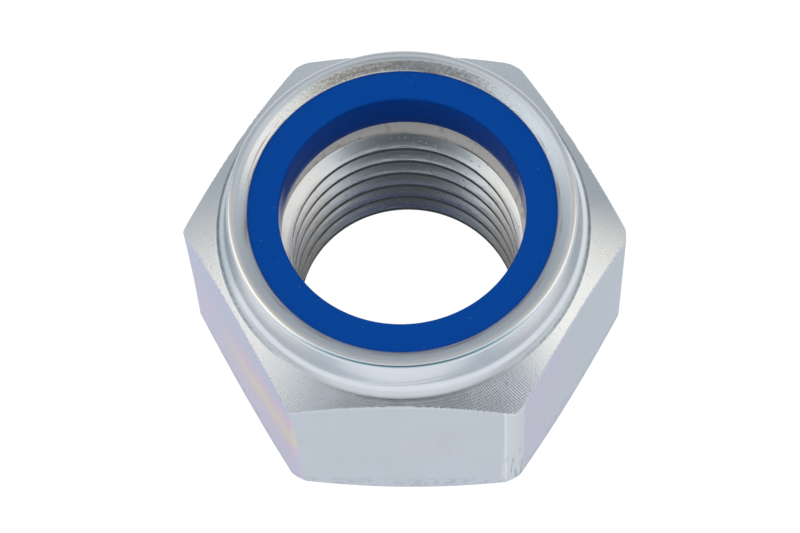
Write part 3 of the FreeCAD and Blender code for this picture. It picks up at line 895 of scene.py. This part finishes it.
bore_top = arc_points((RING_BORE_RADIUS + BORE_ROUND, RING_TOP - BORE_ROUND), BORE_ROUND, 180, 90, 6)
ring_rows = [
    (RING_BORE_RADIUS, 29.6), (RING_BORE_RADIUS, 31.0), (RING_BORE_RADIUS, 35.0), *bore_top,
    (17.7, RING_TOP), (19.0, RING_TOP), (21.0, RING_TOP), (22.3, RING_TOP), (22.65, RING_TOP - 0.05),
    (22.65, SEAT_HEIGHT + 0.05), (22.5, SEAT_HEIGHT), (17.5, SEAT_HEIGHT), (17.2, 29.3),
    (RING_BORE_RADIUS, 29.6),
]
ring_values, ring_quads = grid([(TURNED, *row) for row in ring_rows], BORE_COLUMNS)
ring = sheet_object("ring_skin", [(ring_values, ring_quads, np.zeros(len(ring_quads)))])
ring = bake(ring, tree, tree_inputs, "nylon_ring")
ring.data.materials.clear()
ring.data.materials.append(nylon)
for polygon in ring.data.polygons:
    polygon.material_index = 0

# %% [markdown]
# ## Floor
# The nut stands on white paper with light behind it. The camera sees the paper as plain white, and so do
# mirrors, because the sides of the nut reflect it. Under the nut hardly any light gets in, so the white that
# a mirror sees fades to a dim tone within its foot. Other rays meet a paper that throws back little light,
# which keeps the nut's shaded sides dark.

# %% White paper
SHADE_RADIUS, PAPER_RADIUS = 18.0, 24.0    # the paper is in shade within the first, and full from the second

floor_material, floor_tree = new_material("white_paper")
floor_path = add(floor_tree, "ShaderNodeLightPath")
open_paper = add(floor_tree, "ShaderNodeMapRange", {
    "Value": place_on_nut(floor_tree)["radius"], "From Min": SHADE_RADIUS * MM, "From Max": PAPER_RADIUS * MM,
    "To Min": 0.12}, **SOFT).outputs[0]
glow = reckon(floor_tree, {
    "glossy": floor_path.outputs["Is Glossy Ray"], "through": floor_path.outputs["Is Transmission Ray"],
    "camera": floor_path.outputs["Is Camera Ray"], "open": open_paper}, [
    ("mirror", "MAXIMUM", "glossy", "through"),
    ("open mirror", "MULTIPLY", "mirror", "open"),
    ("seen", "MAXIMUM", "camera", "open mirror")])["seen"]
paper = add(floor_tree, "ShaderNodeBsdfDiffuse", {"Color": (0.1, 0.1, 0.1, 1)})
backlight = add(floor_tree, "ShaderNodeEmission", {"Color": (1, 1, 1, 1), "Strength": glow})
lit_paper = add(floor_tree, "ShaderNodeAddShader", {0: paper.outputs[0], 1: backlight.outputs[0]})
add(floor_tree, "ShaderNodeOutputMaterial", {"Surface": lit_paper.outputs[0]})
floor_mesh = bpy.data.meshes.new("floor")
floor_mesh.from_pydata([(-3, -3, 0), (3, -3, 0), (3, 3, 0), (-3, 3, 0)], [], [(0, 1, 2, 3)])
floor_mesh.materials.append(floor_material)
floor = bpy.data.objects.new("floor", floor_mesh)
scene.collection.objects.link(floor)
print("floor in metres:", [round(c, 1) for c in floor.dimensions])

# %% [markdown]
# ## Light
# Plated metal shows its surroundings more than its lamps, so large soft panels light it, and what stands
# between them matters as much. Here the world holds them all: a light grey room, a ceiling, bright ends of the
# table, a softbox on each side, and the dark shapes of the camera and the gaps beside it. Each is a round
# patch with a soft edge, laid over the ones before it. The camera itself sees plain white.

# %% Studio
ROOM = 0.75
PATCHES = [
    # azimuth, elevation, degrees where it is full, degrees where it ends, brightness
    (0, 90, 20, 46, 1.02),                 # ceiling
    (180, 42, 10, 32, 0.5),                # dark wall behind the nut, above the table's end
    (180, 6, 20, 60, 1.0),                 # bright table end behind it
    (0, 6, 30, 50, 1.15),                  # bright table end in front of it
    (-84, 46, 24, 38, 1.75),               # softbox on the left
    (84, 46, 24, 38, 1.65),                # softbox on the right
    (-30, 54, 10, 24, 0.35),               # dark gap between the left softbox and the camera
    (38, 54, 10, 24, 0.35),                # and on the right
    (4.5, 58, 12, 28, 0.12),               # camera and photographer
]


def direction(azimuth, elevation):
    """Unit vector; azimuth 0 points to the front, 90 to the right, elevation above the table."""
    a, e = math.radians(azimuth), math.radians(elevation)
    return (math.sin(a) * math.cos(e), -math.cos(a) * math.cos(e), math.sin(e))


world = bpy.data.worlds.new("studio")
world.use_nodes = True
scene.world = world
sky = world.node_tree
sky.nodes.clear()
ray = add(sky, "ShaderNodeTexCoord").outputs["Generated"]
tone = ROOM
for azimuth, elevation, full, end, brightness in PATCHES:
    facing = add(sky, "ShaderNodeVectorMath", {0: ray, 1: direction(azimuth, elevation)},
                 operation="DOT_PRODUCT").outputs["Value"]
    tone = add(sky, "ShaderNodeMix", {
        "Factor": within(sky, facing, full, end), "A": tone, "B": brightness}, data_type="FLOAT").outputs[0]
sky_path = add(sky, "ShaderNodeLightPath")
shown = add(sky, "ShaderNodeMix", {
    "Factor": sky_path.outputs["Is Camera Ray"], "A": tone, "B": 1.0}, data_type="FLOAT").outputs[0]
background = add(sky, "ShaderNodeBackground", {"Strength": shown})
add(sky, "ShaderNodeOutputWorld", {"Surface": background.outputs[0]})
print("patches of light and dark:", len(PATCHES))

# %% [markdown]
# ## Hand over to the frame
# Each piece rides on the one body and stands for its CAD node, which is hidden. The floor is only a stage.

for piece, node, slot in ((nut, "nut_body", "zinc_steel"), (ring, "insert_ring", "blue_nylon")):
    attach(piece, "root")
    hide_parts(node)
